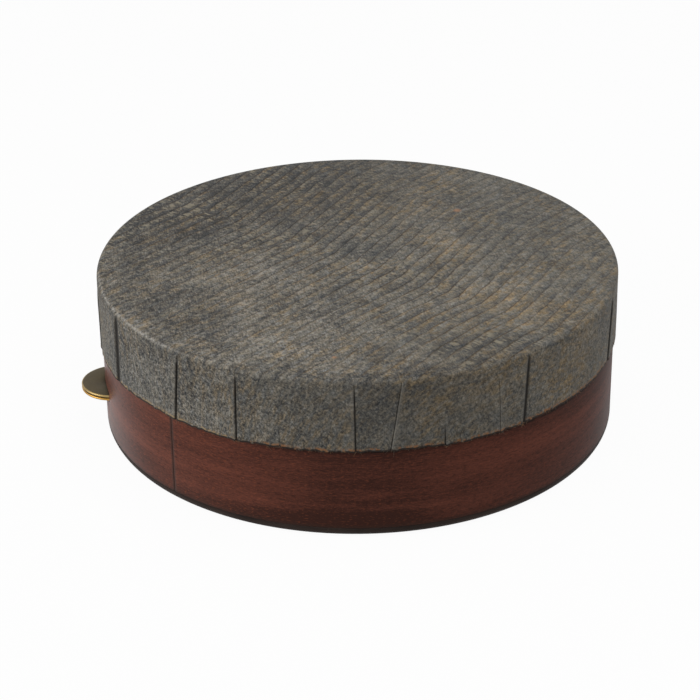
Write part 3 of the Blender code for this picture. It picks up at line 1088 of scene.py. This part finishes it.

# %% [markdown]
# ## The skin's finish: patches and tints
# The skin is made lighter or darker, and tanner, in soft patches. They are listed: where the middle lies on
# the flat cut, to the right and away from the front, the angle, two half-sizes, how much lighter the patch
# is and how much tanner. The places are led astray by noise first, so that no patch looks like an oval. A
# ramp then turns the felt into greys, and tan and bluish fibres, two small spots, the pips and the lines of
# the rows are laid over it.

# %% Tint the skin
PATCHES = (
    (-40.0, 64.0, 32.0, 95.0, 75.0, -0.125, 0.0),
    (-74.0, 19.0, 70.0, 48.0, 38.0, -0.070, 0.0),
    (-22.0, -62.0, 20.0, 26.0, 18.0, 0.075, 0.0),
    (33.0, 8.0, -45.0, 18.0, 10.0, 0.060, 0.15),
    (47.0, -28.0, -50.0, 28.0, 11.0, 0.050, 0.0),
    (-60.0, -32.0, -45.0, 32.0, 22.0, -0.085, 0.0),
    (5.0, 8.0, 60.0, 20.0, 15.0, -0.035, -0.15),
    (-34.0, -15.0, 0.0, 27.0, 20.0, 0.054, 0.0),
    (37.0, -66.0, 24.0, 32.0, 16.0, -0.075, 0.0),
    (48.0, -34.0, -33.0, 32.0, 10.0, 0.025, 0.40),
    (30.0, 14.0, -42.0, 26.0, 8.0, 0.025, 0.28),
    (14.0, 40.0, -15.0, 30.0, 9.0, 0.020, 0.32),
    (-62.0, 32.0, -35.0, 22.0, 13.0, 0.0, 0.20),
    (-40.0, -30.0, -50.0, 16.0, 9.0, 0.0, 0.20),
    (-52.0, -58.0, -45.0, 22.0, 14.0, -0.020, -0.25),
    (70.0, -46.0, -40.0, 24.0, 13.0, 0.0, 0.40),
    (79.0, -62.0, 52.0, 26.0, 18.0, 0.0, 0.40),
    (36.0, -85.0, 25.0, 42.0, 18.0, 0.0, 0.36),
    (-92.0, -50.0, -60.0, 40.0, 20.0, 0.0, -0.25),
    (-12.0, 52.0, 8.0, 62.0, 26.0, -0.008, 0.22),
    (57.0, 32.0, 60.0, 56.0, 38.0, -0.026, -0.08),
    (21.0, -13.0, 40.0, 19.0, 14.0, -0.045, -0.06),
    (-12.0, 9.0, 0.0, 28.0, 12.0, -0.042, -0.10),
    (55.0, -20.0, -10.0, 22.0, 11.0, 0.036, 0.04),
    (48.0, -54.0, 20.0, 18.0, 11.0, 0.034, 0.0),
)
SPOTS = ((35.8, 39.3, 2.1), (-7.5, -72.5, 1.2))
STRAY = 16.0

stray = cut.node("TexNoise", None, {"Vector": cut, "Scale": 1 / 11.0, "Detail": 2.0}, "Color")
stray = cut.node("VectorMath", {"operation": "SUBTRACT"}, {0: stray, 1: (0.5, 0.5, 0.5)})
stray = cut.node("VectorMath", {"operation": "MULTIPLY"}, {0: stray, 1: (STRAY, STRAY, 0.0)})
strayed = cut.node("VectorMath", {"operation": "ADD"}, {0: cut, 1: stray})
tanned = 0.0
for right, away, angle, long, wide, lighter, tanner in PATCHES:
    inside = patch(strayed, right, away, angle, long, wide)
    felt = felt + inside * lighter
    tanned = inside * tanner + tanned
colour = start.node("ValToRGB", {"stops": (
    (0.22, (0.022, 0.0222, 0.0225)),
    (0.32, (0.046, 0.0455, 0.0440)),
    (0.42, (0.083, 0.0790, 0.0700)),
    (0.50, (0.120, 0.1120, 0.0950)),
    (0.60, (0.178, 0.1660, 0.1410)),
    (0.78, (0.300, 0.2860, 0.2540)),
)}, {0: felt})
tan_group = cut.noise(1 / 20.0, 2.0, 0.5).step(0.36, 0.66)
tan = (strokes(50.0, 2.6, 1.10, 7) * 0.5 + strokes(52.0, 5.0, 2.6, 8) * 0.5).step(-0.08, 0.12)
tan_share = (tan * (0.20 + 0.50 * tan_group + tanned * 0.5) + tanned * 0.45) * (0.5 + row_tint_and_shading)
colour = tan_share.blend(colour, rgb(1.35, 1.05, 0.69), "MULTIPLY")
cool = (strokes(35.0, 2.4, 1.1, 9) * 0.5 + strokes(57.0, 6.0, 2.4, 10) * 0.5).step(-0.06, 0.12)
colour = (cool * (0.85 - row_tint_and_shading * 0.55)).blend(colour, rgb(0.74, 0.82, 0.96), "MULTIPLY")
for right, away, reach in SPOTS:
    spot = patch(cut, right, away, 0.0, reach, reach)
    colour = (spot * 0.75).blend(colour, rgb(0.340, 0.180, 0.100))
pip_share = pips * cut.noise(1 / 24.0, 2.0, 0.5).step(0.38, 0.58) * 0.75
colour = pip_share.blend(colour, rgb(0.265, 0.235, 0.170))
tan_line = to_back.step(8.0, -28.0)
line_tint = tan_line.blend(rgb(0.40, 0.295, 0.225), rgb(0.68, 0.52, 0.37))
colour = lines.blend(colour, line_tint, "MULTIPLY")
print("skin tinted with", len(PATCHES), "patches and", len(SPOTS), "spots")

# %% [markdown]
# ## The skin's finish: painted shade in the folds, rubbed and highlit edge, cut hem
# The creases are painted nearly black as shade. The lips beside them and the left of the rolled edge are
# painted paler, partly as rubbed wear and partly as painted highlight. At the hem the cut shows bits of the
# tan inside of the hide, above a painted shadow line. The felt and the lines of the rows also give the fine
# relief.

# %% Painted shade, wear, highlights and relief of the skin
# The left front of the rolled edge is painted paler: partly rubbed wear, partly painted highlight from the
# lamp on the left.
worn_and_highlit = edge * cut.noise(0.45, 2.0, 0.7).step(0.34, 0.60) * (0.9 + grain * 3.0)
rubbed_and_highlit = 0.12 + 0.68 * x.step(-48.0, -64.0) * y.between(-74.0, -58.0, -25.0, 0.0)
colour = (worn_and_highlit * rubbed_and_highlit).blend(colour, rgb(0.400, 0.380, 0.345))
# The lips are painted paler: wear and painted highlight.
colour = (lip * 0.42).blend(colour, rgb(0.260, 0.245, 0.215))
frayed = cut.noise(0.16, 2.0, 0.6) + x.between(35.0, 55.0, 84.0, 98.0) * 0.10
frayed = frayed + x.step(-60.0, -85.0) * 0.06
bits = cut.noise(0.70, 2.0, 0.6).step(0.42, 0.56, 0.08, 1.0)
tan_cut = above_hem.step(1.7, 0.8) * frayed.step(0.42, 0.54) * bits * (0.95 + grain)
cut_tint = (x.step(-30.0, -62.0) * 0.8).blend(rgb(0.235, 0.108, 0.045), rgb(0.330, 0.250, 0.140))
colour = tan_cut.blend(colour, cut_tint)
# A painted shadow line along the lowest part of the skirt, at the hem.
hem_shadow = above_hem.step(0.70, 0.45) * cut.noise(0.30, 2.0, 0.6).step(0.28, 0.44)
colour = (hem_shadow * 0.97).blend(colour, rgb(0.016, 0.011, 0.009))
# The creases are painted nearly black: painted shade.
colour = (crease.step(0.04, 0.75) * 0.96).blend(colour, rgb(0.012, 0.010, 0.008))
rough = 0.75 + grain * 0.25
relief = felt * 2.0 - lines * 0.45
bumps = start.node("Bump", None, {"Strength": 0.6, "Distance": 0.20 * MM, "Height": relief})
feed(shader, Base_Color=colour, Roughness=rough, Normal=bumps)
skin.data.materials.append(hide)
print("skin finished")

# %% [markdown]
# ## Fibres, brass and steel
# The loose fibres go from grey-brown to tan along the hem. The brass faces are dull olive tarnish, painted
# darker as a dark reflection, and the rims are bright, partly rubbed and partly a painted highlight. The
# steel pin is plain, with fine lines drawn along it.

# %% Finish the small pieces
HIGHLIT_RIM = (10.75, 11.05)

fibre, shader, start = new_finish("cut_fibre", {"Specular IOR Level": 0.2, "Roughness": 0.8})
kind = start.here().noise(700.0, 1.0).step(0.35, 0.65)
feed(shader, Base_Color=kind.blend(rgb(0.105, 0.088, 0.070), rgb(0.230, 0.130, 0.065)))
hem_fibres.data.materials.append(fibre)


def brass_finish(name, rim_wear_and_highlight_colour):
    """Dull olive faces, darkened as a painted dark reflection, and a bright rim, partly wear and partly
    painted highlight, by the distance from the pin.
    """
    brass, shader, start = new_finish(name, {"Metallic": 1.0})
    to_pin = {"Vector": start.here(), "Location": (-PIN_AXIS.x, -PIN_AXIS.y, 0.0)}
    moved = start.node("Mapping", None, to_pin)
    x, y = moved.axes("XY")
    from_pin = (x * x + y * y).maths("SQRT", x * x + y * y) / MM
    cloud = moved.noise(260.0, 3.0, 0.6)
    scuff = moved.noise(1500.0, 2.0, 0.6)
    # A bright rim, partly rubbed wear and partly painted highlight; the faces' dark olive is partly tarnish
    # and partly painted dark reflection.
    rim_wear_and_highlight = (from_pin + (cloud - 0.5) * 0.4).step(*HIGHLIT_RIM)
    face = cloud.blend(rgb(0.068, 0.052, 0.028), rgb(0.110, 0.085, 0.046))
    face = (scuff.step(0.55, 0.75) * 0.3).blend(face, rgb(0.160, 0.125, 0.068))
    rough = 0.38 + scuff * 0.2 - rim_wear_and_highlight * 0.14
    height = cloud + scuff * 0.3
    dents = start.node("Bump", None, {"Strength": 0.2, "Distance": 0.04 * MM, "Height": height})
    feed(shader, Base_Color=rim_wear_and_highlight.blend(face, rim_wear_and_highlight_colour), Roughness=rough, Normal=dents)
    return brass


lower_jingle.data.materials.append(brass_finish("lower_brass", rgb(0.400, 0.225, 0.055)))
upper_jingle.data.materials.append(brass_finish("upper_brass", rgb(0.330, 0.235, 0.100)))

steel, shader, start = new_finish("drawn_steel", {"Metallic": 1.0})
stretched = start.node("Mapping", None, {"Vector": start.here(), "Scale": (4000.0, 4000.0, 120.0)})
drawn = stretched.noise(1.0, 2.0, 0.6)
grey = drawn.blend(rgb(0.36, 0.36, 0.36), rgb(0.60, 0.60, 0.60))
feed(shader, Base_Color=grey, Roughness=0.25 + drawn * 0.2)
pin.data.materials.append(steel)
print("small pieces finished")

# %% [markdown]
# ## Put the pieces on their bodies
# Each piece rides on a body of the imported model, so that it moves when the joint moves, and stands in for
# the solid it was made after, which is hidden.

# %% Ride, replace and finish
for piece, body, slot, node in (
    (core, "shell", "core", "shell_core"),
    (veneer, "shell", "veneer", "shell_veneer"),
    (skin, "shell", "skin", "drumhead"),
    (hem_fibres, "shell", "skin", None),
    (pin, "shell", "pin", "jingle_pin"),
    (lower_jingle, "lower_jingle", "jingle", "jingle_lower"),
    (upper_jingle, "upper_jingle", "jingle", "jingle_upper"),
):
    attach(piece, body)
    if node:
        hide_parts(node)
